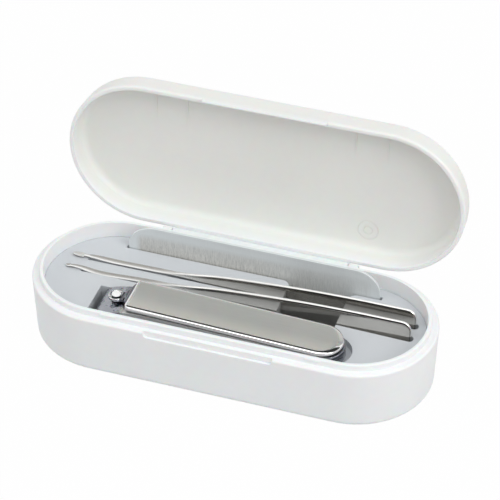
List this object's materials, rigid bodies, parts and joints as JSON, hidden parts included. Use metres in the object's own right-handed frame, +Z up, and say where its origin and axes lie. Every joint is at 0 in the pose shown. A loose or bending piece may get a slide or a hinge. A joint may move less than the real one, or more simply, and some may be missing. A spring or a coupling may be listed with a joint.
{
  "type": "manicure set case",
  "caption": "Hinged oblong plastic case whose moulded insert holds a nail clipper, a nail file and ear tools, shown with its lid open.",
  "frame": {"origin": "centre of the base's flat underside", "axes": "+X along the case towards the clipper's tail, +Y towards the hinge, +Z up"},
  "size_m": [0.125, 0.0621, 0.0678],
  "materials": {
    "case_plastic": "fine satin, slightly translucent white",
    "insert_plastic": "matt pale grey",
    "polished_steel": "mirror polish",
    "satin_steel": "satin face with polished edges",
    "file_steel": "etched field inside a plain satin border"
  },
  "bodies": {
    "base": {"case_base": "case_plastic", "hinge_pin": "polished_steel", "tray_insert": "insert_plastic"},
    "lid": {"case_lid": "case_plastic"},
    "clipper": {"clipper_lower_arm": "polished_steel", "clipper_rivet": "polished_steel", "clipper_post": "polished_steel"},
    "clipper_jaw": {"clipper_upper_arm": "polished_steel"},
    "lever": {"clipper_lever": "satin_steel"},
    "file": {"nail_file": "file_steel"},
    "spoon": {"ear_spoon": "polished_steel"},
    "scraper": {"ear_scraper": "polished_steel"}
  },
  "joints": [
    {"name": "lid_hinge", "type": "hinge", "parent": "base", "child": "lid", "pos_m": [0, 0.0249, 0.0186], "axis": [-1, 0, 0], "range_deg": [-93, 0]},
    {"name": "clipper_lift", "type": "slide", "parent": "base", "child": "clipper", "axis": [0, 0, 1], "range_m": [0, 0.045]},
    {"name": "file_lift", "type": "slide", "parent": "base", "child": "file", "axis": [0, 0, 1], "range_m": [0, 0.03]},
    {"name": "spoon_lift", "type": "slide", "parent": "base", "child": "spoon", "axis": [0, 0, 1], "range_m": [0, 0.03]},
    {"name": "scraper_lift", "type": "slide", "parent": "base", "child": "scraper", "axis": [0, 0, 1], "range_m": [0, 0.03]},
    {"name": "lever_tip", "type": "hinge", "parent": "clipper", "child": "lever", "pos_m": [-0.0341, -0.0111, 0.0202], "axis": [0, -1, 0], "range_deg": [0, 30]},
    {"name": "jaw_close", "type": "hinge", "parent": "clipper", "child": "clipper_jaw", "pos_m": [0.0334, -0.0111, 0.0171], "axis": [0, -1, 0], "range_deg": [0, 1.3], "stiffness_Nm_per_rad": 1.5, "springref_deg": -0.46}
  ]
}
